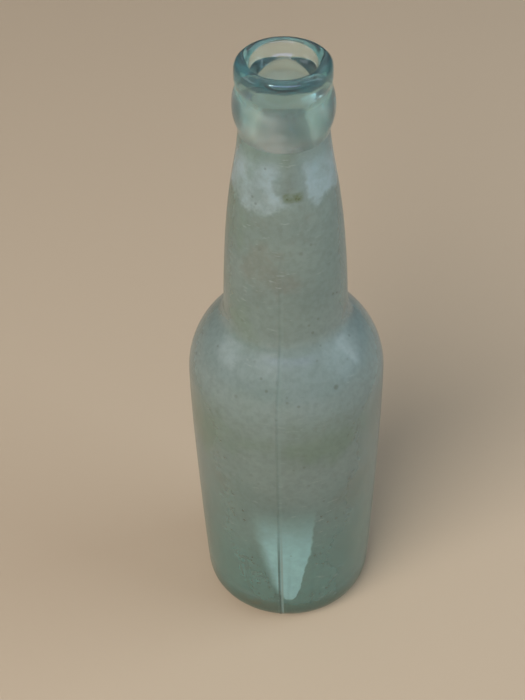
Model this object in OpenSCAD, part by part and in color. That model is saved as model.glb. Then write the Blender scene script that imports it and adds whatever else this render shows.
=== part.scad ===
// Aqua glass soda bottle, mouth-blown in a two-part mould, with a hand-laid crown finish.
// Units are millimetres. +Z is up, the origin is the middle of the base where it stands,
// and the two mould seams lie on the Y axis.

/* [Overall] */
// height from the table to the top of the lip
height = 200; // [170:1:240]
// widest diameter, just under the shoulder
body_d = 60; // [50:0.5:75]
// diameter just above the rounded heel
base_d = 54.2; // [44:0.2:70]
// thickness of the side wall
wall = 3; // [2:0.1:5]

/* [Base] */
// height of the rounded heel
heel_h = 6.5; // [3:0.5:12]
// how far the heel rounds inward
heel_w = 5.5; // [3:0.5:10]
// height of the push-up under the base
kick_h = 3; // [1:0.5:8]
// thickness of the glass in the base
base_t = 5; // [3:0.5:10]
// width of the flat ring that the bottle stands on
bearing_w = 2; // [1:0.25:4]
// rounding of the inside corner at the base
inside_heel_r = 8; // [4:0.5:12]

/* [Shoulder and neck] */
// height where the side meets the shoulder
shoulder_z = 92; // [70:1:120]
// radius of the round shoulder, seen from the side
shoulder_r = 26.5; // [15:0.5:40]
// how far the shoulder turns in, in degrees, before it meets the neck
shoulder_turn = 52; // [30:1:75]
// diameter of the neck where it leaves the shoulder
neck_base_d = 37.2; // [30:0.2:45]
// diameter of the neck under the finish
neck_top_d = 25.2; // [22:0.2:30]
// height of the top of the moulded neck
neck_top_z = 178.5; // [150:0.5:200]
// wall of the neck, thicker than the side
neck_wall = 5.2; // [2:0.1:6]
// share of the neck, from the shoulder up, over which the wall grows to neck_wall
neck_grow = 0.3; // [0.1:0.05:1]

/* [Crown finish] */
// largest diameter of the sealing lip, standard for a crown
lip_d = 26.6; // [26:0.1:27]
// height of the straight band round the lip
lip_band = 2.3; // [1:0.1:3]
// diameter of the crest, the highest ring of the lip
crest_d = 21.8; // [20:0.1:25]
// height of the rounded crest above the straight band
crest_h = 2.5; // [1:0.1:3]
// diameter of the groove under the lip
groove_d = 25.8; // [23:0.1:26]
// diameter of the collar
collar_d = 28.3; // [27:0.1:32]
// diameter of the throat, where the mouth is narrowest
bore_d = 14; // [12:0.1:17]
// diameter of the mouth just inside the crest
mouth_d = 18; // [16:0.1:19]
// diameter of the hollow under the throat, at the end of the neck
lap_bore_d = 15.6; // [14:0.1:17]
// diameter of the neck end inside the finish
lap_d = 21.2; // [18:0.1:23]
// length of neck that the finish is laid over
lap_h = 9.5; // [5:0.5:14]

/* [Seams and deposits] */
// how far the mould seams stand out of the wall
seam_h = 0.25; // [0.1:0.05:0.6]
// width of a mould seam at the body
seam_w = 0.8; // [0.4:0.1:2]
// thickness of the dried scale film inside the neck
film_t = 0.25; // [0.1:0.05:0.5]
// thickness of the brown deposits
crust_t = 0.3; // [0.1:0.05:0.6]
// direction of the stain in the neck, in degrees round from +X
stain_at = -75; // [-180:1:180]
// direction of the sediment in the heel, in degrees round from +X
sediment_at = -106; // [-180:1:180]

/* [Hidden] */
$fn = 96;
side_steps = 6;
neck_steps = 12;
shoulder_steps = 7;
body_r = body_d / 2;
base_r = base_d / 2;
bore_r = bore_d / 2;
lap_bore_r = lap_bore_d / 2;
crest_r = crest_d / 2;
mouth_r = mouth_d / 2;
lap_r = lap_d / 2;
lip_r = lip_d / 2;
collar_r = collar_d / 2;
groove_r = groove_d / 2;
bearing_out = base_r - heel_w;
bearing_in = bearing_out - bearing_w;
corner_r = body_r - shoulder_r * (1 - cos(shoulder_turn));
corner_z = shoulder_z + shoulder_r * sin(shoulder_turn);
lap_top = neck_top_z + lap_h;
floor_z = base_t;
film_from = 7;
film_to = 11;
stain_from = 8;
stain_to = 9;

// points on an arc of an ellipse round (cx, cz), from angle a0 to a1
function arc(cx, cz, rx, rz, a0, a1, steps) =
    [for (i = [0:steps]) let (a = a0 + (a1 - a0) * i / steps) [cx + rx * cos(a), cz + rz * sin(a)]];

// point at t on a cubic curve with the control points p
function bezier(p, t) =
    pow(1 - t, 3) * p[0] + 3 * t * pow(1 - t, 2) * p[1] + 3 * t * t * (1 - t) * p[2] + pow(t, 3) * p[3];

// radius of the outside at share t of the way up the tapering side
function side_r(t) = base_r + (body_r - base_r) * (1 - pow(1 - t, 1.6));

// the tapering side, set in by a wall, from the heel to the shoulder
function side(inset, from_z) =
    [for (i = [0:side_steps]) let (t = i / side_steps) [side_r(t) - inset, from_z + (shoulder_z - from_z) * t]];

// the round shoulder, set in by a wall
function shoulder(inset) =
    arc(body_r - shoulder_r, shoulder_z, shoulder_r - inset, shoulder_r - inset, 0, shoulder_turn, shoulder_steps);

// the bulged neck, from the shoulder to the finish, set in by a wall that soon grows to top_inset
function neck(inset, top_inset) =
    let (span = neck_top_z - corner_z)
    [for (i = [0:neck_steps]) let (
        t = i / neck_steps,
        p = bezier([[neck_base_d / 2, corner_z + 2.5],
                    [neck_base_d / 2 - 1.3, corner_z + span * 0.72],
                    [neck_top_d / 2 + 1.5, corner_z + span * 0.75],
                    [neck_top_d / 2, neck_top_z]], t),
        share = (1 - cos(180 * min(1, t / neck_grow))) / 2)
        [p[0] - inset - (top_inset - inset) * share, p[1]]];

// a flat push-up that falls smoothly to zero at radius r, raised by z
function push_up(r, z, steps) =
    [for (i = [0:steps]) [r * i / steps, z + kick_h * (1 + cos(180 * i / steps)) / 2]];

function reversed(list) = [for (i = [len(list) - 1:-1:0]) list[i]];
function part_of(list, from, to) = [for (i = [from:to]) list[i]];

heel_outside = arc(base_r - heel_w, heel_h, heel_w, heel_h, -90, 0, 6);
wall_outside = concat(side(0, heel_h), part_of(shoulder(0), 1, shoulder_steps), neck(0, 0));
heel_inside = arc(base_r - wall - inside_heel_r, floor_z + inside_heel_r,
                  inside_heel_r, inside_heel_r, -90, 0, 6);
neck_inside = neck(wall, neck_wall);
wall_inside = concat(side(wall, floor_z + inside_heel_r),
                     part_of(shoulder(wall), 1, shoulder_steps), neck_inside);

// a sector of a ring with the section given, centred on the direction at
module sector(at, width)
    rotate([0, 0, at - width / 2])
        rotate_extrude(angle = width)
            children();

// a thin layer on the inside of the wall, along the points given
module layer(points, inset, thickness)
    polygon(concat([for (p = points) [p[0] - inset, p[1]]],
                   [for (p = reversed(points)) [p[0] - inset - thickness, p[1]]]));

// base, body, shoulder and neck, blown in one piece, with the neck end under the finish
module blown_body()
    color([0.56, 0.72, 0.68, 0.55]) {
        rotate_extrude()
            polygon(concat(
                push_up(bearing_in, 0, 6),
                heel_outside,
                part_of(wall_outside, 1, len(wall_outside) - 1),
                [[lap_r, neck_top_z], [lap_r, lap_top], [lap_bore_r, lap_top]],
                reversed(wall_inside),
                reversed(part_of(heel_inside, 0, 5)),
                reversed(push_up(base_r - wall - inside_heel_r, floor_z, 5))));
        for (at = [-90, 90])
            sector(at, seam_w / body_r * 180 / PI)
                polygon(concat([for (p = wall_outside) [p[0] + seam_h, p[1]]],
                               [for (p = reversed(wall_outside)) [p[0] - 1, p[1]]]));
    }

// collar, groove and lip, laid on hot round the end of the neck
module crown_finish()
    color([0.36, 0.56, 0.53, 0.6])
        rotate_extrude()
            polygon(concat(
                [[lap_r, neck_top_z], [neck_top_d / 2, neck_top_z]],
                arc(neck_top_d / 2 - 0.2, neck_top_z + 7.6, collar_r - neck_top_d / 2 + 0.2, 5.6, -70, 55, 8),
                [[groove_r, neck_top_z + 13.6], [groove_r, neck_top_z + 14.4]],
                arc(lip_r - 0.9, neck_top_z + 15.9, 0.9, 0.9, -50, 0, 3),
                [[lip_r, neck_top_z + 15.9 + lip_band]],
                arc(crest_r, height - crest_h, lip_r - crest_r, crest_h, 15, 90, 6),
                [[mouth_r + 1.2, height - 0.1], [mouth_r + 0.6, height - 0.5], [mouth_r + 0.2, height - 1.1],
                 [mouth_r, height - 2], [mouth_r - 0.15, height - 2.9], [bore_r + 1, height - 3.75],
                 [bore_r + 0.3, height - 4.6], [bore_r, height - 5.6], [bore_r, height - 6.7],
                 [bore_r + 0.3, height - 7.3], [lap_bore_r, height - 9],
                 [lap_bore_r, lap_top], [lap_r, lap_top]]));

// whitish film of dried scale on the inside of the upper neck
module neck_scale_film()
    color([0.66, 0.76, 0.77, 0.7])
        rotate_extrude()
            layer(part_of(neck_inside, film_from, film_to), 0, film_t);

// olive-brown stain on the film
module neck_stain()
    color([0.34, 0.38, 0.27])
        sector(stain_at, 25)
            layer(part_of(neck_inside, stain_from, stain_to), film_t, crust_t);

// dried brown sediment in the inside corner of the base
module heel_sediment()
    color([0.33, 0.29, 0.22])
        sector(sediment_at, 24)
            layer(part_of(heel_inside, 1, 4), 0, crust_t);

blown_body();
crown_finish();
neck_scale_film();
neck_stain();
heel_sediment();
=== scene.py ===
"""Looks of an aqua glass soda bottle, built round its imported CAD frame. Everything is in metres."""
import math

import bmesh
import bpy
import numpy as np
from mathutils import Matrix, Vector, noise


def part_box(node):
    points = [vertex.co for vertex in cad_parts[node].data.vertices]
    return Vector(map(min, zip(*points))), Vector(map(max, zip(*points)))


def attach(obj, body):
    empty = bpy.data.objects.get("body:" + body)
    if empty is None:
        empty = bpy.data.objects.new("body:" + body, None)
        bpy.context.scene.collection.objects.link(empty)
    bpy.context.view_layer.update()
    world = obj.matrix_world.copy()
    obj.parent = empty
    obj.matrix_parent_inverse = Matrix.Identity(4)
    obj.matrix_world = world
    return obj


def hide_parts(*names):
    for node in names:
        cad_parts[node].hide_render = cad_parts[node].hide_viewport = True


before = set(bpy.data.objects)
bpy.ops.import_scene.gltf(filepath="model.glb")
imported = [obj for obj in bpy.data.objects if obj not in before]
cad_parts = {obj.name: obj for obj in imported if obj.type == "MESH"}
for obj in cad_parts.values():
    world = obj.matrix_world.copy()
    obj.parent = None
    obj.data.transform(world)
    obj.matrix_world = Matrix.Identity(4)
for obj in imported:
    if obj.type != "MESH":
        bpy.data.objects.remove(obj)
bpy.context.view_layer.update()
MM = 0.001

# ---------------------------------------------------------------- sizes, from the frame
_, body_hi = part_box("blown_body")
lip_lo, lip_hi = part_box("crown_finish")
film_lo, film_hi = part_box("neck_scale_film")
stain_lo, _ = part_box("neck_stain")
sediment_lo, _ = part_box("heel_sediment")

TOP = lip_hi[2]                 # top of the lip
BODY_R = body_hi[0]             # widest radius of the body
COLLAR_R = lip_hi[0]            # radius of the collar
LAP_TOP = body_hi[2]            # end of the neck, inside the finish
NECK_TOP = lip_lo[2]            # where the finish starts

# The rest of the outline, as the CAD has it.
BASE_R = 27.1 * MM
WALL = 3.0 * MM
HEEL_H = 6.5 * MM
HEEL_W = 5.5 * MM
KICK_H = 3.0 * MM
FLOOR_Z = 5.0 * MM
BEARING_W = 2.0 * MM
INSIDE_HEEL_R = 8.0 * MM
SHOULDER_Z = 92.0 * MM
SHOULDER_R = 26.5 * MM
SHOULDER_TURN = math.radians(52)
CORNER_Z = SHOULDER_Z + SHOULDER_R * math.sin(SHOULDER_TURN)
SIDE_TAPER = 1.6                # how soon the side reaches its full width
NECK_BASE_R = 18.6 * MM
NECK_TOP_R = 12.6 * MM
NECK_STEP = 2.5 * MM            # how far over the shoulder's end the neck's curve starts
NECK_LOW = (1.3 * MM, 0.72)     # its lower control point: how far in, and how far up the neck
NECK_HIGH = (1.5 * MM, 0.75)    # its upper control point: how far out, and how far up the neck
NECK_WALL = 5.2 * MM
NECK_GROW = 0.3
COLLAR_IN = 0.2 * MM            # how far inside the neck's end the collar's arc is centred
COLLAR_Z = 7.6 * MM             # the widest place of the collar, over the bottom of the finish
COLLAR_HALF = 5.6 * MM          # half the height of the collar's arc
BAND_Z = 15.9 * MM              # bottom of the lip's straight band, over the bottom of the finish
LIP_R = 13.3 * MM
LIP_ROUND = 0.9 * MM
LIP_BAND = 2.3 * MM
CREST_R = 10.9 * MM
CREST_H = 2.5 * MM
# the inside of the mouth: radius and depth under the top of the lip, both in mm
MOUTH = (
    (10.2, 0.1), (9.6, 0.45), (9.2, 1.1), (9.0, 2.0), (8.85, 2.9), (8.0, 3.75),
    (7.3, 4.6), (7.0, 5.6), (7.0, 6.7), (7.3, 7.3), (7.8, 9.0),
)
# the groove under the lip: radius and height over the bottom of the finish, both in mm
GROOVE = ((12.9, 13.6), (12.9, 14.4))
LAP_BORE_R = 7.8 * MM
LAP_R = 10.6 * MM
FUSED_GAP = 0.01 * MM           # the fused faces lie this far apart, so that no two coincide
STAIN_AT = -75                  # directions of the marks inside, in degrees round from +X
SEDIMENT_AT = -106
FILM_GAP_AT = -78


def clamp(x):
    """x, kept between 0 and 1."""
    return min(1.0, max(0.0, x))


# ---------------------------------------------------------------- outlines, as (radius, height)
def arc(cx, cz, rx, rz, a0, a1, steps):
    """Points on an elliptic arc, angles in degrees."""
    out = []
    for i in range(steps + 1):
        a = math.radians(a0 + (a1 - a0) * i / steps)
        out.append((cx + rx * math.cos(a), cz + rz * math.sin(a)))
    return out


def side(inset, from_z, steps=40):
    """The tapering side of the body, set in by a wall."""
    out = []
    for i in range(steps + 1):
        t = i / steps
        r = BASE_R + (BODY_R - BASE_R) * (1 - (1 - t) ** SIDE_TAPER)
        out.append((r - inset, from_z + (SHOULDER_Z - from_z) * t))
    return out


def shoulder(inset):
    """The round shoulder, set in by a wall."""
    r = SHOULDER_R - inset
    return arc(BODY_R - SHOULDER_R, SHOULDER_Z, r, r, 0, math.degrees(SHOULDER_TURN), 30)


def neck(inset, top_inset, steps=60):
    """The bulged neck: one cubic curve from the shoulder to the finish.

    It is set in by a wall that soon grows to top_inset.
    """
    span = NECK_TOP - CORNER_Z
    p = [
        (NECK_BASE_R, CORNER_Z + NECK_STEP),
        (NECK_BASE_R - NECK_LOW[0], CORNER_Z + span * NECK_LOW[1]),
        (NECK_TOP_R + NECK_HIGH[0], CORNER_Z + span * NECK_HIGH[1]),
        (NECK_TOP_R, NECK_TOP),
    ]
    out = []
    for i in range(steps + 1):
        t = i / steps
        w = [(1 - t) ** 3, 3 * t * (1 - t) ** 2, 3 * t * t * (1 - t), t**3]
        r = sum(a * q[0] for a, q in zip(w, p))
        z = sum(a * q[1] for a, q in zip(w, p))
        share = (1 - math.cos(math.pi * min(1.0, t / NECK_GROW))) / 2
        out.append((r - inset - (top_inset - inset) * share, z))
    return out


def push_up(r, z, steps=30):
    """A flat push-up that falls smoothly to z at radius r."""
    return [
        (r * i / steps, z + KICK_H * (1 + math.cos(math.pi * i / steps)) / 2)
        for i in range(steps + 1)
    ]


def even(points, step, smooth=0):
    """The polyline again at an even spacing, its corners rounded by a few smoothing passes."""
    p = np.array(points)
    keep = np.r_[True, np.hypot(*np.diff(p, axis=0).T) > 1e-7]
    p = p[keep]
    d = np.r_[0, np.cumsum(np.hypot(*np.diff(p, axis=0).T))]
    n = max(2, int(round(d[-1] / step)))
    s = np.linspace(0, d[-1], n + 1)
    q = np.stack([np.interp(s, d, p[:, 0]), np.interp(s, d, p[:, 1])], 1)
    for _ in range(smooth):
        q[1:-1] = (q[:-2] + 2 * q[1:-1] + q[2:]) / 4
    return q


# ---------------------------------------------------------------- mesh helpers
SAME_POINT = 2e-6               # points closer than this, in metres, become one
SHARP_FROM = math.radians(50)


def turn_between(a, b):
    """The turn from angle b to angle a, from -pi to pi."""
    return (a - b + math.pi) % (2 * math.pi) - math.pi


def round_angles(base, dense_at=(), dense_span=0.05, dense_step=0.0065):
    """Angles round a circle: an even set, with a dense stretch round each angle in dense_at."""
    angles = [2 * math.pi * i / base for i in range(base)]
    for a in dense_at:
        angles = [t for t in angles if abs(turn_between(t, a)) > dense_span]
        k = int(dense_span / dense_step)
        angles += [(a + i * dense_step) % (2 * math.pi) for i in range(-k, k + 1)]
    return sorted(angles)


def revolve(name, stretches, angles, move):
    """A closed body of revolution. stretches: (points, kind), joined end to end.

    A stretch's last point is the next one's first. move(kind, x, y, z) gives how far a point
    moves outward, in metres. An end on the axis closes to one point. The faces carry two marks
    that the glass material reads: inside, and fused where two pieces of hot glass became one.
    """
    verts, faces, kinds = [], [], []
    n = len(angles)

    def add_ring(r, z, kind):
        if r < 1e-6:
            verts.append((0, 0, z))
            return [len(verts) - 1] * n
        ids = []
        for a in angles:
            x, y = r * math.cos(a), r * math.sin(a)
            k = (r + move(kind, x, y, z)) / r
            verts.append((x * k, y * k, z))
            ids.append(len(verts) - 1)
        return ids

    last = None
    for points, kind in stretches:
        for i, (r, z) in enumerate(points):
            if last and i == 0:
                continue
            ids = add_ring(r, z, kind)
            if last:
                for j in range(n):
                    k = (j + 1) % n
                    quad = [last[j], last[k], ids[k], ids[j]]
                    quad = [v for m, v in enumerate(quad) if v != quad[m - 1]]
                    if len(quad) > 2:
                        faces.append(quad)
                        kinds.append(kind)
            last = ids
    mesh = bpy.data.meshes.new(name)
    mesh.from_pydata(verts, [], faces)
    for mark in ("inside", "fused"):
        layer = mesh.attributes.new(mark, "FLOAT", "FACE")
        layer.data.foreach_set("value", [1.0 if kind == mark else 0.0 for kind in kinds])
    clean(mesh)
    obj = bpy.data.objects.new(name, mesh)
    bpy.context.collection.objects.link(obj)
    return obj


def clean(mesh):
    """Joins points that lie together, drops unused points and turns the faces outward."""
    bm = bmesh.new()
    bm.from_mesh(mesh)
    bmesh.ops.remove_doubles(bm, verts=bm.verts, dist=SAME_POINT)
    bmesh.ops.delete(bm, geom=[v for v in bm.verts if not v.link_faces], context="VERTS")
    bmesh.ops.recalc_face_normals(bm, faces=bm.faces)
    bm.to_mesh(mesh)
    bm.free()
    mesh.shade_smooth()


# ---------------------------------------------------------------- the shape of blown glass
SEAM_AT = (math.radians(90), math.radians(270))
SEAM_H = 0.30 * MM
SEAM_W = 0.34 * MM              # half its width, at 1/e of its height
SEAM_END = 8 * MM               # how far under the finish it ends
SEAM_FADE = 70 * MM             # the length over which it fades to that end
SEAM_FULL_TO = 23 * MM          # it has its full height up to here
SEAM_WEAK_FROM = 63 * MM        # and from here up the share below
SEAM_WEAK = 0.45
INSIDE_EVEN = 10 * MM           # the inside evens out over this much of the neck's end


def wave(x, y, z, around, up, depth, shift=(0, 0)):
    """Smooth noise, depth metres deep, with so many waves a metre around the bottle and up it."""
    return noise.noise(Vector((x * around + shift[0], y * around + shift[1], z * up))) * depth


def outside_waves(x, y, z):
    """Gentle whittle marks left by the mould."""
    return wave(x, y, z, 60, 34, 0.10 * MM) + wave(x, y, z, 190, 120, 0.03 * MM, (5, 0))


def inside_waves(x, y, z):
    """The freely blown inside is less even than the outside."""
    return wave(x, y, z, 42, 24, 0.42 * MM, (9, 0)) + wave(x, y, z, 110, 60, 0.12 * MM, (0, 3))


def seam_ridge(x, z):
    """The mould seam, sharp at the base and fading out under the finish."""
    height = SEAM_H * clamp((NECK_TOP - SEAM_END - z) / SEAM_FADE)
    strong = clamp((SEAM_WEAK_FROM - z) / (SEAM_WEAK_FROM - SEAM_FULL_TO))
    height *= SEAM_WEAK + (1 - SEAM_WEAK) * strong
    return height * math.exp(-((x / SEAM_W) ** 2))


def inside_move(x, y, z):
    """How far the inside of the wall moves outward."""
    return inside_waves(x, y, z) * clamp((LAP_TOP - z) / INSIDE_EVEN)


def body_move(kind, x, y, z):
    """How far a point of the body moves outward. The joint and the base stay even."""
    if kind == "outside":
        fade = clamp((NECK_TOP - z) / (3 * MM)) * clamp(z / (2 * MM))
        return (outside_waves(x, y, z) + seam_ridge(x, z)) * fade
    return inside_move(x, y, z) if kind == "inside" else 0.0


def finish_move(kind, x, y, z):
    """How far a point of the hand-laid finish moves outward."""
    if kind == "outside":
        return wave(x, y, z, 70, 45, 0.16 * MM, (0, 4)) * clamp((z - NECK_TOP) / (2 * MM))
    return 0.0


def inside_outline():
    """The inside of the wall, from the end of the neck down to the middle of the base."""
    floor_r = BASE_R - WALL - INSIDE_HEEL_R
    return even(
        [(LAP_BORE_R, LAP_TOP)]
        + neck(WALL, NECK_WALL)[::-1]
        + shoulder(WALL)[::-1]
        + side(WALL, FLOOR_Z + INSIDE_HEEL_R)[::-1]
        + arc(floor_r, FLOOR_Z + INSIDE_HEEL_R, INSIDE_HEEL_R, INSIDE_HEEL_R, 0, -90, 30)
        + push_up(floor_r, FLOOR_Z)[::-1],
        step=0.9 * MM,
        smooth=4,
    )


def make_body():
    """Base, body, shoulder and neck: one closed piece of glass."""
    bearing_out = BASE_R - HEEL_W
    bearing_in = bearing_out - BEARING_W
    under = even(push_up(bearing_in, 0) + [(bearing_out, 0)], step=0.9 * MM, smooth=2)
    heel = arc(bearing_out, HEEL_H, HEEL_W, HEEL_H, -90, 0, 30)
    outside = even(heel + side(0, HEEL_H) + shoulder(0) + neck(0, 0), step=0.8 * MM, smooth=3)
    lap = [(NECK_TOP_R, NECK_TOP), (LAP_R, NECK_TOP), (LAP_R, LAP_TOP), (LAP_BORE_R, LAP_TOP)]
    inside = inside_outline()
    stretches = [(under, "base"), (outside, "outside"), (lap, "fused"), (inside, "inside")]
    body = revolve("blown_body_glass", stretches, round_angles(160, SEAM_AT), body_move)
    body.data.set_sharp_from_angle(angle=SHARP_FROM)
    body.data.materials.append(body_glass())
    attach(body, "root")
    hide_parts("blown_body")


def make_finish():
    """Collar, groove and lip: one closed piece of glass round the neck's end."""
    collar_in = NECK_TOP_R - COLLAR_IN
    collar = arc(collar_in, NECK_TOP + COLLAR_Z, COLLAR_R - collar_in, COLLAR_HALF, -70, 55, 30)
    groove = [(r * MM, NECK_TOP + h * MM) for r, h in GROOVE]
    lower = even([(NECK_TOP_R, NECK_TOP)] + collar + groove, step=0.45 * MM, smooth=8)
    band = NECK_TOP + BAND_Z
    fused_top = LAP_TOP + FUSED_GAP
    fused_low = NECK_TOP + FUSED_GAP
    lip = even(
        [tuple(lower[-1])]
        + arc(LIP_R - LIP_ROUND, band, LIP_ROUND, LIP_ROUND, -50, 0, 8)
        + [(LIP_R, band + LIP_BAND)]
        + arc(CREST_R, TOP - CREST_H, LIP_R - CREST_R, CREST_H, 15, 90, 16)
        + [(r * MM, TOP - depth * MM) for r, depth in MOUTH]
        + [(LAP_BORE_R, fused_top)],
        step=0.35 * MM,
        smooth=4,
    )
    lap = [
        (LAP_BORE_R, fused_top), (LAP_R + FUSED_GAP, fused_top),
        (LAP_R + FUSED_GAP, fused_low), (NECK_TOP_R, fused_low),
    ]
    lower[0] = (NECK_TOP_R, fused_low)
    stretches = [(lower, "outside"), (lip, "outside"), (lap, "fused")]
    piece = revolve("crown_finish_glass", stretches, round_angles(200), finish_move)
    piece.data.set_sharp_from_angle(angle=SHARP_FROM)
    piece.data.materials.append(finish_glass())
    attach(piece, "root")
    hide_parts("crown_finish")


# ---------------------------------------------------------------- what has dried on the inside
CRUST_FROM_R = 14 * MM          # leaves out the push-up, which has the heights of the corner
SNAP = 0.7                      # points within this share of a step are moved onto the edge
ON_FILM = 0.27 * MM             # how far from the wall a crust on the film starts
ON_WALL = 0.03 * MM             # and one on the wall itself


def deposit(name, node, angles, cover, thickness, gap, step):
    """A closed crust on the inside wall, over the height of its CAD node.

    It lies between two angles. cover(a, z, x, y) is above 0 where there is crust, and
    thickness(c, x, y, z) says how thick it is. The edge follows the line where cover is 0.
    gap is its distance from the wall, and step is the size of its faces.
    """
    lo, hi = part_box(node)
    outline = inside_outline()
    outline = outline[(outline[:, 0] > CRUST_FROM_R) | (outline[:, 1] > SHOULDER_Z)]
    beyond = 0.1 * MM
    path = even(outline[(outline[:, 1] > lo[2] - beyond) & (outline[:, 1] < hi[2] + beyond)], step)
    slope = np.gradient(path, axis=0)
    slope /= np.hypot(slope[:, 0], slope[:, 1])[:, None]
    whole = angles[1] - angles[0] > math.radians(355)
    cols = int((angles[1] - angles[0]) * path[:, 0].mean() / step)
    turn = np.linspace(angles[0], angles[1], cols + 1)
    if whole:
        turn = turn[:-1]
    rows, cols = len(path), len(turn)

    def point(i, j, out):
        """A point out metres off the wall, at row i and column j, which need not be whole."""
        k = min(max(i, 0), rows - 1.001)
        m, f = int(k), k - int(k)
        r, z = path[m] * (1 - f) + path[m + 1] * f
        tr, tz = slope[m] * (1 - f) + slope[m + 1] * f
        a = angles[0] + (angles[1] - angles[0]) * j / (cols if whole else cols - 1)
        r += inside_move(r * math.cos(a), r * math.sin(a), z)
        r, z = r + tz * out, z - tr * out
        return r * math.cos(a), r * math.sin(a), z, a

    c = np.zeros((rows, cols))
    for i in range(rows):
        for j in range(cols):
            x, y, z, a = point(i, j, 0)
            c[i, j] = cover(a, z, x, y)
    if whole:
        around = np.concatenate([c[:, -1:], c, c[:, :1]], 1)
    else:
        around = np.pad(c, ((0, 0), (1, 1)), "edge")
    gi = np.gradient(c, axis=0)
    gj = np.gradient(around, axis=1)[:, 1:-1]
    size = gi**2 + gj**2 + 1e-12
    near = np.abs(c) < SNAP * np.sqrt(size)
    di, dj = np.where(near, -c * gi / size, 0), np.where(near, -c * gj / size, 0)
    c = np.where(near, 0, c)

    kept = []
    for i in range(rows - 1):
        for j in range(cols if whole else cols - 1):
            k = (j + 1) % cols
            corners = [(i, j), (i, k), (i + 1, k), (i + 1, j)]
            if all(c[q] >= 0 for q in corners) and any(c[q] > 0 for q in corners):
                kept.append(corners)
    verts, index = [], {}
    for quad in kept:
        for i, j in quad:
            if (i, j) not in index:
                index[i, j] = len(verts)
                x, y, z, a = point(i + di[i, j], j + dj[i, j], 0)
                t = thickness(c[i, j], x, y, z)
                for out in (gap, gap + t):
                    verts.append(point(i + di[i, j], j + dj[i, j], out)[:3])
    faces, edges = [], {}
    for quad in kept:
        ids = [index[q] for q in quad]
        faces.append(ids)
        faces.append([v + 1 for v in reversed(ids)])
        for m in range(4):
            edges[ids[m - 1], ids[m]] = True
    for p, q in edges:
        if (q, p) not in edges:
            faces.append([q, p, p + 1, q + 1])
    mesh = bpy.data.meshes.new(name)
    mesh.from_pydata(verts, [], faces)
    clean(mesh)
    piece = bpy.data.objects.new(name, mesh)
    bpy.context.collection.objects.link(piece)
    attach(piece, "root")
    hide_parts(node)
    return piece


def fractal(x, y, z, scale, octaves=4):
    """Rough noise round 0, with about scale waves a metre."""
    return noise.fractal(Vector((x * scale, y * scale, z * scale)), 1.0, 2.0, octaves)


def ease(x):
    """A smooth step from 0 to 1, as x goes from 0 to 1."""
    x = clamp(x)
    return x * x * (3 - 2 * x)


def angle_from(a, centre):
    """How far angle a is from a direction in degrees, in degrees."""
    return (math.degrees(a) - centre + 180) % 360 - 180


def make_film():
    """Patches of dried scale, with a crisp lower edge and gaps in front and behind."""
    around = (0, 2 * math.pi)

    def cover(a, z, x, y):
        # low is the wavy lower edge, and c rises from 0 at an edge to 1 well inside
        low = film_lo[2] + 0.9 * MM + 1.3 * MM * (0.5 + fractal(x, y, 0, 150.0))
        c = min((z - low) / (1.6 * MM), (film_hi[2] - z - 0.3 * MM) / (2.5 * MM), 1.0)
        gap = math.exp(-((angle_from(a, FILM_GAP_AT) / 14.0) ** 4))
        gap += math.exp(-((angle_from(a, 90) / 80.0) ** 4))
        return c * 0.45 + 0.9 * fractal(x, y, z, 130.0, 5) - 0.8 * gap

    def thickness(c, x, y, z):
        return (0.04 + 0.14 * ease(c * 1.2)) * MM

    name, node = "neck_scale_patches", "neck_scale_film"
    piece = deposit(name, node, around, cover, thickness, ON_WALL, 0.32 * MM)
    piece.data.materials.append(scale_film())


def directions(at, half):
    """The angles on either side of a direction, both given in degrees."""
    return math.radians(at) - math.radians(half), math.radians(at) + math.radians(half)


def make_stain():
    """An oval stain on the film, with a ragged edge."""

    def cover(a, z, x, y):
        across = angle_from(a, STAIN_AT - 1) / 13.0
        up = (z - (stain_lo[2] + 1.7 * MM)) / (1.35 * MM)
        return 1.1 - math.hypot(across, up) + 0.5 * fractal(x, y, z, 420.0)

    def thickness(c, x, y, z):
        return (0.04 + 0.22 * ease(c * 2) * (0.8 + 0.8 * fractal(x, y, z, 900.0))) * MM

    name, node, around = "neck_stain_patch", "neck_stain", directions(STAIN_AT, 12.4)
    piece = deposit(name, node, around, cover, thickness, ON_FILM, 0.16 * MM)
    piece.data.materials.append(stain_crust())


def make_sediment():
    """A ragged crust of dirt in the inside corner of the base."""

    def cover(a, z, x, y):
        across = angle_from(a, SEDIMENT_AT) / 11.0
        up = (z - (sediment_lo[2] + 2.2 * MM)) / (2.6 * MM)
        return 1.1 - math.hypot(across, up) + 0.6 * fractal(x, y, z, 330.0)

    def thickness(c, x, y, z):
        return (0.04 + 0.24 * ease(c * 2) * (0.8 + 0.8 * fractal(x, y, z, 800.0))) * MM

    name, node, around = "heel_sediment_crust", "heel_sediment", directions(SEDIMENT_AT, 11.9)
    piece = deposit(name, node, around, cover, thickness, ON_WALL, 0.2 * MM)
    piece.data.materials.append(sediment_crust())


# ---------------------------------------------------------------- materials
GLASS_ABSORB = (0.08, 0.76, 0.83)
BODY_DENSITY = 62.0
FINISH_DENSITY = 54.0
GLASS_IOR = 1.5
CRUST_IOR = 1.3
PURE_WHITE = (1.0, 1.0, 1.0)

# the share of milky surface: outside the body and on the marks there, inside it and on the
# marks there, and on the lip and the collar
HAZE = (0.45, 0.49)
HAZE_BLOOM = 0.48
HAZE_HEEL = 0.49
# the share of milky surface in the painted pool of light low on the front
HAZE_LIGHT_LEAF = 0.50
HAZE_RUBBED = 0.50
HAZE_INSIDE = (0.01, 0.06)
HAZE_INSIDE_MARKS = 0.235
HAZE_LIP = 0.03
HAZE_COLLAR = (0.08, 0.22)

# how rough the glass is in the same places
ROUGH = (0.18, 0.26)
ROUGH_NECK = 0.26
ROUGH_INSIDE = (0.05, 0.15)
ROUGH_LIP = (0.09, 0.16)
ROUGH_COLLAR = (0.22, 0.26)
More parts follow.
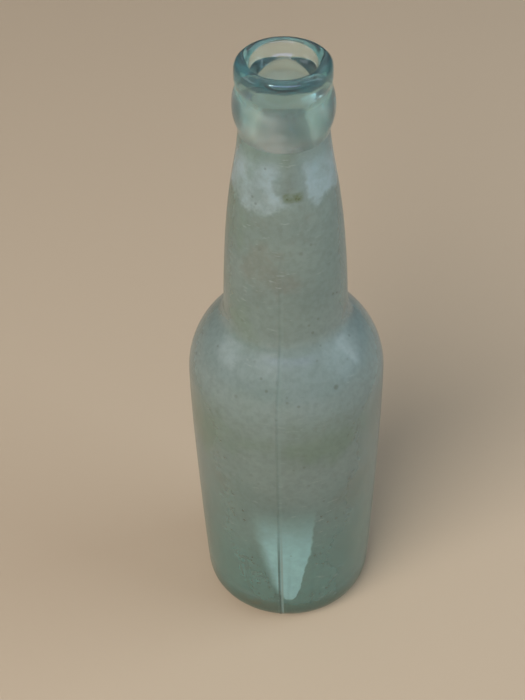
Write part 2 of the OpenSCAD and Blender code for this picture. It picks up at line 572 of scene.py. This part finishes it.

# colours of the milky surface and of the marks on it; some of them are painted light, as noted
MILKY = ((0.250, 0.320, 0.296), (0.322, 0.393, 0.369))
GREEN_CLOUD = (0.235, 0.320, 0.230)
BROWN_CLOUD = (0.290, 0.282, 0.236)
# painted sheen on the shoulder, where it faces up to the light
PAINTED_SHOULDER_SHEEN = (0.350, 0.430, 0.426)
# painted teal glow low on the body, of light shining through the thick base
LOW_BODY_GLOW = (0.178, 0.318, 0.280)
HEEL = (0.125, 0.195, 0.145)
MOTTLE = (0.16, 0.20, 0.16)
SHINY_INSIDE = (0.84, 0.88, 0.87)
BLOOM = (0.47, 0.59, 0.62)
# painted pool of light low on the front
PAINTED_LEAF_LIGHT = (0.46, 0.79, 0.80)
MOULD_LINE = (0.12, 0.22, 0.19)
RUBBED = (0.46, 0.54, 0.53)
SPECK = (0.16, 0.17, 0.13)
SEAM_DARK = (0.10, 0.18, 0.16)
# painted highlight beside the seam ridge
SEAM_HIGHLIGHT = (0.34, 0.47, 0.44)
DIRT_INSIDE = (0.30, 0.23, 0.14)
HEEL_SMEAR = (0.20, 0.15, 0.08)
# olive copy of the inner stain, painted on the outside where it shows through the glass
STAIN_SHOW_THROUGH = (0.15, 0.19, 0.08)

# colours of the finish, where it is clear and where it is dull, and of the crusts
FINISH = ((0.98, 0.97, 0.94), (0.80, 0.84, 0.81))
SCALE = ((0.86, 0.95, 1.0), (0.97, 1.0, 1.0))
STAIN = ((0.085, 0.130, 0.040), (0.20, 0.26, 0.11))
SEDIMENT = ((0.075, 0.05, 0.025), (0.26, 0.19, 0.11))

# where the marks and the painted light are
GLOW_FROM, GLOW_TO = 12 * MM, 78 * MM         # painted teal glow below, of light through the thick base, fading out above
HEEL_FROM, HEEL_TO = 6 * MM, 11 * MM        # the dark heel fades out between these
SHEEN_FROM = (82 * MM, 100 * MM)             # painted sheen: the shoulder turns pale between these
SHEEN_TO = (110 * MM, 122 * MM)              # and back between these
NECK_FROM, NECK_TO = 108 * MM, 130 * MM     # the body's roughness turns into the neck's
BLOOM_FROM = 160.3 * MM         # lower edge of the bloom on the neck
BLOOM_EDGE = 3.0 * MM           # how soft that edge is
BLOOM_END = (171 * MM, 178 * MM)    # it thins out between these
BLOOM_GAP_AT = math.radians(-77)
# where the painted pool of light low on the front lies
LEAF_TIP = (3.6 * MM, 11 * MM)  # across and up
LEAF_LENGTH = 40 * MM
LEAF_HALF = 8 * MM
SEAM_HIGHLIGHT_AT = 0.9 * MM         # the painted highlight, a pale line, runs this far beside the seam
STAIN_SHOW_Z = 165.2 * MM            # middle of the painted olive copy of the stain, on the outside of the neck
COLLAR_TO, LIP_FROM = 189.5 * MM, 193.0 * MM     # the collar's haze ends between these


class Look:
    """A material and short ways to add nodes to it."""

    def __init__(self, name):
        self.mat = bpy.data.materials.new(name)
        self.mat.use_nodes = True
        self.tree = self.mat.node_tree
        self.bsdf = self.tree.nodes["Principled BSDF"]
        self.out = self.tree.nodes["Material Output"]
        self.place = self.node("ShaderNodeTexCoord").outputs["Object"]
        parts = self.node("ShaderNodeSeparateXYZ")
        self.link(self.place, parts.inputs[0])
        self.across, self.depth, self.height = parts.outputs

    def node(self, kind, **values):
        """A new node. Each value is an input's, or else the node's own."""
        n = self.tree.nodes.new(kind)
        for k, v in values.items():
            if k in n.inputs:
                n.inputs[k].default_value = v
            else:
                setattr(n, k, v)
        return n

    def link(self, a, b):
        self.tree.links.new(a, b)

    def noise(self, scale, detail=4.0, rough=0.6, stretch=(1, 1, 1), shift=0.0):
        """Noise over the object, stretched along its axes."""
        m = self.node("ShaderNodeMapping")
        m.inputs["Scale"].default_value = stretch
        m.inputs["Location"].default_value = (shift, shift, shift)
        self.link(self.place, m.inputs[0])
        n = self.node("ShaderNodeTexNoise", Scale=scale, Detail=detail, Roughness=rough)
        self.link(m.outputs[0], n.inputs["Vector"])
        return n.outputs["Fac"]

    def ramp(self, source, low, high, start, end, smooth=False):
        """A number that runs from start to end as the source runs from low to high."""
        n = self.node("ShaderNodeMapRange")
        if smooth:
            n.interpolation_type = "SMOOTHSTEP"
        limits = {"From Min": low, "From Max": high, "To Min": start, "To Max": end}
        for name, value in limits.items():
            n.inputs[name].default_value = value
        self.link(source, n.inputs["Value"])
        return n.outputs["Result"]

    def spread(self, noise, start, end):
        """A number that runs from start to end over the values that a noise mostly has."""
        return self.ramp(noise, 0.35, 0.65, start, end)

    def math(self, how, a, b):
        """A sum of two numbers, of the kind that how names."""
        n = self.node("ShaderNodeMath", operation=how)
        for value, socket in zip((a, b), n.inputs):
            if isinstance(value, (int, float)):
                socket.default_value = value
            else:
                self.link(value, socket)
        return n.outputs[0]

    def mix(self, share, a, b):
        """Number a where the share is 0, and b where it is 1."""
        n = self.node("ShaderNodeMix", data_type="FLOAT")
        for value, socket in zip((share, a, b), (n.inputs[0], n.inputs[2], n.inputs[3])):
            if isinstance(value, (int, float)):
                socket.default_value = value
            else:
                self.link(value, socket)
        return n.outputs[0]

    def tint(self, share, a, b):
        """Colour a where the share is 0, and b where it is 1."""
        n = self.node("ShaderNodeMix", data_type="RGBA")
        for value, socket in zip((share, a, b), (n.inputs[0], n.inputs[6], n.inputs[7])):
            if isinstance(value, tuple):
                socket.default_value = (*value, 1)
            else:
                self.link(value, socket)
        return n.outputs[2]

    def most(self, *shares):
        """The largest of several shares."""
        out = shares[0]
        for share in shares[1:]:
            out = self.math("MAXIMUM", out, share)
        return out

    def times(self, *shares):
        """The product of several shares."""
        out = shares[0]
        for share in shares[1:]:
            out = self.math("MULTIPLY", out, share)
        return out

    def off(self, source, middle):
        """How far the source is from its middle value, either way."""
        return self.math("ABSOLUTE", self.math("SUBTRACT", source, middle), 0.0)

    def mark(self, name):
        """A mark on the faces, as revolve() wrote it."""
        return self.node("ShaderNodeAttribute", attribute_name=name).outputs["Fac"]

    def put(self, **values):
        """Sets or links the shader's sockets: Base_Color=..., Roughness=..."""
        for name, value in values.items():
            socket = self.bsdf.inputs[name.replace("_", " ")]
            if isinstance(value, (int, float)):
                socket.default_value = value
            elif isinstance(value, tuple):
                socket.default_value = (*value, 1)
            else:
                self.link(value, socket)

    def bump(self, source, depth):
        """Fine relief, depth metres deep."""
        n = self.node("ShaderNodeBump", Strength=1.0, Distance=depth)
        self.link(source, n.inputs["Height"])
        self.link(n.outputs[0], self.bsdf.inputs["Normal"])

    def absorb(self, density):
        """The aqua tint of the glass itself."""
        v = self.node("ShaderNodeVolumeAbsorption", Density=density)
        v.inputs["Color"].default_value = (*GLASS_ABSORB, 1)
        self.link(v.outputs[0], self.out.inputs["Volume"])

    def glass(self, haze, rough, colour, density):
        """Aqua glass: haze is the share of milky surface.

        Light goes straight on where two pieces fused.
        """
        fused = self.mark("fused")
        self.put(
            Base_Color=self.tint(fused, colour, PURE_WHITE),
            Roughness=self.mix(fused, rough, 0.0),
            Transmission_Weight=self.math("MAXIMUM", self.math("SUBTRACT", 1.0, haze), fused),
            IOR=self.ramp(fused, 0.0, 1.0, GLASS_IOR, 1.0),
        )
        self.absorb(density)


def neck_bloom(look):
    """Whitish bloom round the neck's top, with an uneven lower edge and a clear gap in front."""
    sway = look.ramp(look.noise(70.0, 4.0, 0.6, shift=4.0), 0.3, 0.7, -0.3, 0.3)
    turn = look.math("ADD", look.math("ARCTAN2", look.depth, look.across), sway)
    uneven = look.spread(look.noise(85.0, 5.0, 0.65, shift=1.0), -2.2 * MM, 2.2 * MM)
    level = look.math("ADD", look.height, uneven)
    above = look.ramp(level, BLOOM_FROM, BLOOM_FROM + BLOOM_EDGE, 0.0, 1.0, smooth=True)
    beside = look.ramp(look.off(turn, BLOOM_GAP_AT), 0.13, 0.36, 0.15, 1.0, smooth=True)
    cloud = look.ramp(look.noise(130.0, 5.0, 0.65, shift=2.0), 0.36, 0.62, 0.35, 1.0)
    under = look.ramp(look.height, *BLOOM_END, 1.0, 0.15, smooth=True)
    return look.times(above, beside, cloud, under)


def painted_light_leaf(look):
    """Painted light: a pale, leaf-shaped pool of light on the front, low down, crisp on one side and
    soft on the other.
    """
    rise = look.math("DIVIDE", look.math("SUBTRACT", look.height, LEAF_TIP[1]), LEAF_LENGTH)
    half = look.math("MULTIPLY", look.math("SQRT", look.math("MAXIMUM", rise, 0.0), 0.0), LEAF_HALF)
    ragged = look.ramp(look.noise(120.0, 3.0), 0.3, 0.7, -0.6 * MM, 0.6 * MM)
    across = look.math("ADD", look.math("SUBTRACT", look.across, LEAF_TIP[0]), ragged)
    share = look.math("DIVIDE", across, look.math("MAXIMUM", half, 0.1 * MM))
    right = look.ramp(share, 0.93, 1.03, 1.0, 0.0)
    left = look.ramp(share, -1.75, -0.9, 0.0, 0.85, smooth=True)
    front = look.ramp(look.depth, -8 * MM, -10 * MM, 0.0, 1.0)
    fade = look.ramp(rise, 0.60, 1.20, 1.0, 0.0, smooth=True)
    start = look.ramp(rise, 0.0, 0.03, 0.0, 1.0)
    cloud = look.spread(look.noise(240.0, 5.0, 0.65), 0.75, 1.0)
    return look.times(right, left, front, fade, start, cloud)


def seam_line(look, beside=0.0):
    """A line along the mould seams, or beside them, where it is a painted highlight on the ridge;
    strong near the base and faint above.
    """
    line = look.ramp(look.off(look.across, beside), 0.22 * MM, 0.5 * MM, 1.0, 0.0)
    strong = look.ramp(look.height, 30 * MM, 50 * MM, 0.85, 0.16, smooth=True)
    end = look.ramp(look.height, 118 * MM, 150 * MM, 1.0, 0.0, smooth=True)
    return look.times(line, strong, end)


def mould_lines(look):
    """Faint lines left by the mould: upright low on the sides, and level round the heel."""
    upright = look.ramp(look.noise(420.0, 2.0, 0.5, stretch=(1, 1, 0.012)), 0.48, 0.70, 0.0, 1.0)
    low = look.ramp(look.height, 12 * MM, 36 * MM, 1.0, 0.0)
    level = look.ramp(look.noise(900.0, 2.0, 0.5, stretch=(0.02, 0.02, 1)), 0.48, 0.60, 0.0, 1.0)
    lowest = look.ramp(look.height, 8 * MM, 14 * MM, 1.0, 0.0)
    return look.most(look.times(upright, low), look.times(level, lowest))


def specks(look):
    """Dark specks in the glass, a few larger ones and many fine ones, both in drifts."""

    def layer(scale, core, edge, strength, drift):
        cells = look.node("ShaderNodeTexVoronoi", Scale=scale)
        look.link(look.place, cells.inputs["Vector"])
        dot = look.ramp(cells.outputs["Distance"], core, edge, strength, 0.0, smooth=True)
        return look.times(dot, drift)

    few = look.ramp(look.noise(60.0, 2.0, shift=6.0), 0.46, 0.56, 0.0, 1.0)
    many = look.ramp(look.noise(90.0, 3.0, shift=7.0), 0.48, 0.60, 0.0, 1.0)
    large = layer(130.0, 0.05, 0.15, 1.0, few)
    fine = layer(290.0, 0.08, 0.18, 0.8, many)
    return look.times(look.most(large, fine), 0.5)


def scuffs(look):
    """Short pale scratches and rubbed spots."""
    scratch = look.noise(260.0, 4.0, 0.6, stretch=(1, 1, 4.5), shift=8.0)
    where = look.ramp(look.noise(40.0, 3.0, shift=9.0), 0.48, 0.60, 0.0, 1.0)
    return look.times(look.ramp(scratch, 0.61, 0.75, 0.0, 0.75), where)


def heel_dirt(look, full, none):
    """Brown dirt round the crust of sediment: full up to one height, none above another."""
    turn = look.math("ARCTAN2", look.depth, look.across)
    away = look.off(turn, math.radians(SEDIMENT_AT))
    beside = look.ramp(away, 0.12, 0.34, 1.0, 0.0, smooth=True)
    above = look.ramp(look.height, full, none, 1.0, 0.0, smooth=True)
    grain = look.ramp(look.noise(500.0, 5.0, 0.7), 0.40, 0.60, 0.2, 1.0)
    return look.times(beside, above, grain)


def stain_show_through(look):
    """An olive copy of the stain, painted on the outside of the neck in front of it, where the stain
    shows through the milky glass.
    """
    turn = look.math("ARCTAN2", look.depth, look.across)
    beside = look.ramp(look.off(turn, math.radians(STAIN_AT)), 0.12, 0.24, 1.0, 0.0, smooth=True)
    up = look.off(look.height, STAIN_SHOW_Z)
    level = look.ramp(up, 0.6 * MM, 2.0 * MM, 1.0, 0.0, smooth=True)
    grain = look.ramp(look.noise(420.0, 5.0, 0.7), 0.38, 0.60, 0.3, 0.85)
    return look.times(beside, level, grain)


def body_glass():
    """Blown aqua glass: milky and etched by age outside, shiny inside."""
    look = Look("body_glass")
    inside = look.mark("inside")
    outside = look.math("SUBTRACT", 1.0, inside)
    cloud = look.noise(48.0, 6.0)
    blotch = look.noise(16.0, 3.0, shift=3.0)
    both = look.mix(0.5, cloud, blotch)
    # painted teal glow low on the body, of light through the thick base
    low = look.ramp(look.height, GLOW_FROM, GLOW_TO, 1.0, 0.0, smooth=True)
    heel = look.ramp(look.height, HEEL_FROM, HEEL_TO, 1.0, 0.0, smooth=True)
    bloom = neck_bloom(look)
    # painted pool of light low on the front
    leaf = look.times(painted_light_leaf(look), outside)
    dirt = look.times(heel_dirt(look, 5.5 * MM, 9.5 * MM), inside)
    rubbed = look.times(scuffs(look), outside)

    haze = look.spread(both, *HAZE)
    haze = look.mix(low, haze, look.spread(cloud, *HAZE))
    haze = look.mix(inside, haze, look.ramp(cloud, 0.3, 0.7, *HAZE_INSIDE))
    haze = look.mix(look.times(look.most(bloom, dirt), inside), haze, HAZE_INSIDE_MARKS)
    haze = look.mix(look.times(bloom, outside), haze, HAZE_BLOOM)
    # painted pool of light: milkier there
    haze = look.mix(leaf, haze, HAZE_LIGHT_LEAF)
    haze = look.mix(look.times(heel, outside), haze, HAZE_HEEL)
    haze = look.mix(rubbed, haze, HAZE_RUBBED)

    upper = look.ramp(look.height, NECK_FROM, NECK_TO, 0.0, 1.0)
    rough = look.mix(upper, look.spread(both, *ROUGH), ROUGH_NECK)
    rough = look.mix(inside, rough, look.ramp(cloud, 0.35, 0.7, *ROUGH_INSIDE))

    # tints of the milky surface, with a painted sheen on the shoulder and a painted glow low on the
    # body
    colour = look.tint(look.spread(both, 0.0, 1.0), *MILKY)
    green = look.noise(26.0, 3.0, shift=12.0)
    brown = look.noise(34.0, 5.0, 0.65, shift=15.0)
    colour = look.tint(look.ramp(green, 0.50, 0.64, 0.0, 0.55, smooth=True), colour, GREEN_CLOUD)
    colour = look.tint(look.ramp(brown, 0.54, 0.66, 0.0, 0.45, smooth=True), colour, BROWN_CLOUD)
    # painted sheen: the shoulder, which faces up to the light, turns pale
    pale = look.times(
        look.ramp(look.height, *SHEEN_FROM, 0.0, 0.75, smooth=True),
        look.ramp(look.height, *SHEEN_TO, 1.0, 0.0, smooth=True),
    )
    colour = look.tint(pale, colour, PAINTED_SHOULDER_SHEEN)
    # painted glow low on the body
    colour = look.tint(low, colour, LOW_BODY_GLOW)
    colour = look.tint(heel, colour, HEEL)
    mottle = look.noise(520.0, 4.0, 0.6)
    colour = look.tint(look.ramp(mottle, 0.40, 0.66, 0.0, 0.24), colour, MOTTLE)

    # the inside, the marks on either side of the wall, and painted light: a pool of light low on the
    # front and a highlight beside the seam
    colour = look.tint(inside, colour, SHINY_INSIDE)
    colour = look.tint(bloom, colour, BLOOM)
    # painted pool of light: a pale aqua tint
    colour = look.tint(leaf, colour, PAINTED_LEAF_LIGHT)
    colour = look.tint(look.times(mould_lines(look), outside, 0.4), colour, MOULD_LINE)
    colour = look.tint(rubbed, colour, RUBBED)
    colour = look.tint(look.times(specks(look), outside), colour, SPECK)
    colour = look.tint(look.times(seam_line(look), outside), colour, SEAM_DARK)
    # painted highlight beside the seam ridge
    colour = look.tint(look.times(seam_line(look, SEAM_HIGHLIGHT_AT), outside), colour, SEAM_HIGHLIGHT)
    colour = look.tint(dirt, colour, DIRT_INSIDE)
    smear = heel_dirt(look, 7.5 * MM, 11.5 * MM)
    over_floor = look.ramp(look.height, 4.5 * MM, 7.0 * MM, 0.0, 0.6)
    colour = look.tint(look.times(smear, over_floor, outside), colour, HEEL_SMEAR)
    # olive copy of the inner stain, painted where it shows through the glass
    colour = look.tint(look.times(stain_show_through(look), outside), colour, STAIN_SHOW_THROUGH)
    look.glass(haze, rough, colour, BODY_DENSITY)
    look.bump(look.noise(420.0, 4.0, 0.6, stretch=(1, 1, 0.5), shift=5.0), 0.04 * MM)
    return look.mat


def finish_glass():
    """The hand-laid finish: a clear, fire-polished lip over a collar that is slightly hazed."""
    look = Look("finish_glass")
    cloud = look.noise(60.0, 5.0)
    scuff = look.noise(260.0, 4.0, 0.65)
    low = look.ramp(look.height, COLLAR_TO, LIP_FROM, 1.0, 0.0, smooth=True)
    haze = look.mix(low, HAZE_LIP, look.ramp(cloud, 0.38, 0.62, *HAZE_COLLAR))
    polished = look.ramp(scuff, 0.4, 0.75, *ROUGH_LIP)
    rough = look.mix(low, polished, look.spread(cloud, *ROUGH_COLLAR))
    dull = look.times(low, look.ramp(cloud, 0.40, 0.60, 1.0, 0.25))
    look.glass(haze, rough, look.tint(dull, *FINISH), FINISH_DENSITY)
    return look.mat


def scale_film():
    """Whitish-blue dried scale, thin enough for light to come through."""
    look = Look("scale_film")
    cloud = look.noise(300.0, 6.0, 0.7)
    dense = look.spread(cloud, 0.0, 1.0)
    look.put(
        Base_Color=look.tint(dense, *SCALE),
        Roughness=look.spread(cloud, 0.55, 0.75),
        Transmission_Weight=look.spread(cloud, 0.88, 0.6),
        IOR=CRUST_IOR,
    )
    look.bump(cloud, 0.05 * MM)
    return look.mat


def stain_crust():
    """Olive-brown stain, mottled, and a little light comes through it."""
    look = Look("stain_crust")
    mottle = look.noise(900.0, 5.0, 0.65)
    pale = look.ramp(mottle, 0.35, 0.68, 0.0, 1.0)
    look.put(
        Base_Color=look.tint(pale, *STAIN),
        Roughness=look.ramp(mottle, 0.3, 0.7, 0.6, 0.9),
        Transmission_Weight=look.ramp(mottle, 0.4, 0.7, 0.1, 0.35),
        IOR=CRUST_IOR,
    )
    look.bump(mottle, 0.1 * MM)
    return look.mat


def sediment_crust():
    """Dried brown dirt, grainy and matt."""
    look = Look("sediment_crust")
    grain = look.noise(1100.0, 5.0, 0.7)
    pale = look.ramp(grain, 0.35, 0.68, 0.0, 1.0)
    look.put(
        Base_Color=look.tint(pale, *SEDIMENT),
        Roughness=look.ramp(grain, 0.3, 0.7, 0.75, 0.95),
    )
    look.bump(grain, 0.15 * MM)
    return look.mat


# ---------------------------------------------------------------- stage, light and camera
FLOOR_COLOUR = (0.52, 0.41, 0.30)
FLOOR_R = 4.0                   # metres
FLOOR_EDGES = 96
FLOOR_Z0 = -0.1 * MM            # just under the bottle, so that the two faces don't coincide


def make_floor():
    """A round, plain, pale floor."""
    turns = [2 * math.pi * i / FLOOR_EDGES for i in range(FLOOR_EDGES)]
    verts = [(FLOOR_R * math.cos(t), FLOOR_R * math.sin(t), FLOOR_Z0) for t in turns]
    mesh = bpy.data.meshes.new("studio_floor")
    mesh.from_pydata(verts, [], [list(range(FLOOR_EDGES))])
    floor = bpy.data.objects.new("studio_floor", mesh)
    bpy.context.collection.objects.link(floor)
    look = Look("studio_floor")
    look.put(Base_Color=FLOOR_COLOUR, Roughness=0.8, Specular_IOR_Level=0.2)
    mesh.materials.append(look.mat)


AIM_AT = Vector((0, 0, 0.1))    # the middle of the bottle
WORLD_COLOUR = (0.93, 0.96, 1.0)
WORLD_LIGHT = (0.09, 0.30)      # at the horizon and overhead
# what a light does, where it doesn't do everything: see area_light
NOT_MIRRORED = {"mirrored": False}
ON_SURFACES = {"mirrored": False, "through": False}
THROUGH_GLASS = {"direct": False, "mirrored": False}
MIRRORED = {"direct": False, "through": False}
# name, aim, size, watts, colour, and what it does
LIGHTS = (
    ("key", (-117, 36, 1.7), (1.3, 1.1), 33.0, (1.0, 0.97, 0.92), ON_SURFACES),
    ("back", (80, 58, 1.2), (1.0, 1.0), 22.0, (0.95, 1.0, 1.0), THROUGH_GLASS),
    ("window", (2, 20, 1.0), (0.9, 0.7), 7.0, (0.74, 0.89, 1.0), NOT_MIRRORED),
    ("streak", (8, 36, 0.95), (0.14, 1.2), 1.0, (0.80, 0.91, 1.0), MIRRORED),
    ("glint", (-112, 38, 1.7), (0.25, 0.2), 0.4, (1.0, 1.0, 1.0), MIRRORED),
    ("far_glint", (-170, 24, 1.7), (0.9, 0.6), 3.0, (0.92, 0.96, 1.0), MIRRORED),
    ("sky", (-80, 61, 0.7), (0.6, 0.14), 1.5, (0.50, 0.52, 1.0), MIRRORED),
    ("spark", (-125, 60, 1.0), (0.10, 0.10), 2.2, (1.0, 1.0, 1.0), MIRRORED),
)


def area_light(name, aim, size, power, colour, direct=True, mirrored=True, through=True):
    """A soft box aimed at the bottle.

    aim: degrees round from +X, degrees above the floor, and metres away. size: metres across
    and up. direct: it lights the floor and milky surfaces. mirrored: the glass reflects it.
    through: it shines through the glass.
    """
    data = bpy.data.lights.new(name, "AREA")
    data.shape = "RECTANGLE"
    data.size, data.size_y = size
    data.energy = power
    data.color = colour
    light = bpy.data.objects.new(name, data)
    turn, rise, away = math.radians(aim[0]), math.radians(aim[1]), aim[2]
    level = math.cos(rise)
    out = Vector((math.cos(turn) * level, math.sin(turn) * level, math.sin(rise)))
    light.location = AIM_AT + out * away
    light.rotation_euler = (-out).to_track_quat("-Z", "Y").to_euler()
    light.visible_camera = False
    light.visible_diffuse = direct
    light.visible_glossy = mirrored
    light.visible_transmission = through
    bpy.context.collection.objects.link(light)


def make_lights():
    """A dim sky that brightens overhead, and the soft boxes."""
    world = bpy.data.worlds.new("studio")
    bpy.context.scene.world = world
    world.use_nodes = True
    tree = world.node_tree
    back = tree.nodes["Background"]
    back.inputs["Color"].default_value = (*WORLD_COLOUR, 1)
    up = tree.nodes.new("ShaderNodeSeparateXYZ")
    tree.links.new(tree.nodes.new("ShaderNodeTexCoord").outputs["Generated"], up.inputs[0])
    fade = tree.nodes.new("ShaderNodeMapRange")
    fade.inputs["To Min"].default_value, fade.inputs["To Max"].default_value = WORLD_LIGHT
    tree.links.new(up.outputs["Z"], fade.inputs["Value"])
    tree.links.new(fade.outputs["Result"], back.inputs["Strength"])
    for name, aim, size, power, colour, rays in LIGHTS:
        area_light(name, aim, size, power, colour, **rays)


# where the viewer's eye is and looks, in metres and radians, with the lens in millimetres
CAM_TURN = math.radians(6.0)    # round the bottle
CAM_BACK = 0.3559
CAM_UP = 0.4139
CAM_YAW = -0.0203
CAM_PITCH = 0.7263
CAM_ROLL = -0.02315
CAM_LENS = 79.9
CAM_SENSOR = 36.0


def make_camera():
    """The camera at the photograph's viewing angle."""
    data = bpy.data.cameras.new("camera")
    data.sensor_width = CAM_SENSOR
    data.lens = CAM_LENS
    data.clip_start, data.clip_end = 0.01, 20.0
    cam = bpy.data.objects.new("camera", data)
    level = math.cos(CAM_PITCH)
    forward = Vector((math.sin(CAM_YAW) * level, math.cos(CAM_YAW) * level, -math.sin(CAM_PITCH)))
    right = forward.cross(Vector((0, 0, 1))).normalized()
    up = right.cross(forward)
    c, s = math.cos(CAM_ROLL), math.sin(CAM_ROLL)
    right, up = c * right + s * up, c * up - s * right
    m = Matrix((right, up, -forward)).transposed().to_4x4()
    m.translation = Vector((0, -CAM_BACK, CAM_UP))
    cam.matrix_world = Matrix.Rotation(CAM_TURN, 4, "Z") @ m
    bpy.context.collection.objects.link(cam)
    bpy.context.scene.camera = cam


def set_look():
    """The view transform, and enough bounces for light to get through two walls of glass."""
    scene = bpy.context.scene
    scene.view_settings.view_transform = "Standard"
    scene.cycles.max_bounces = 24
    scene.cycles.transmission_bounces = 24
    scene.cycles.glossy_bounces = 6
    scene.cycles.diffuse_bounces = 5
    scene.cycles.transparent_max_bounces = 16


make_camera()
make_lights()
make_floor()
set_look()
make_body()
make_finish()
make_film()
make_stain()
make_sediment()
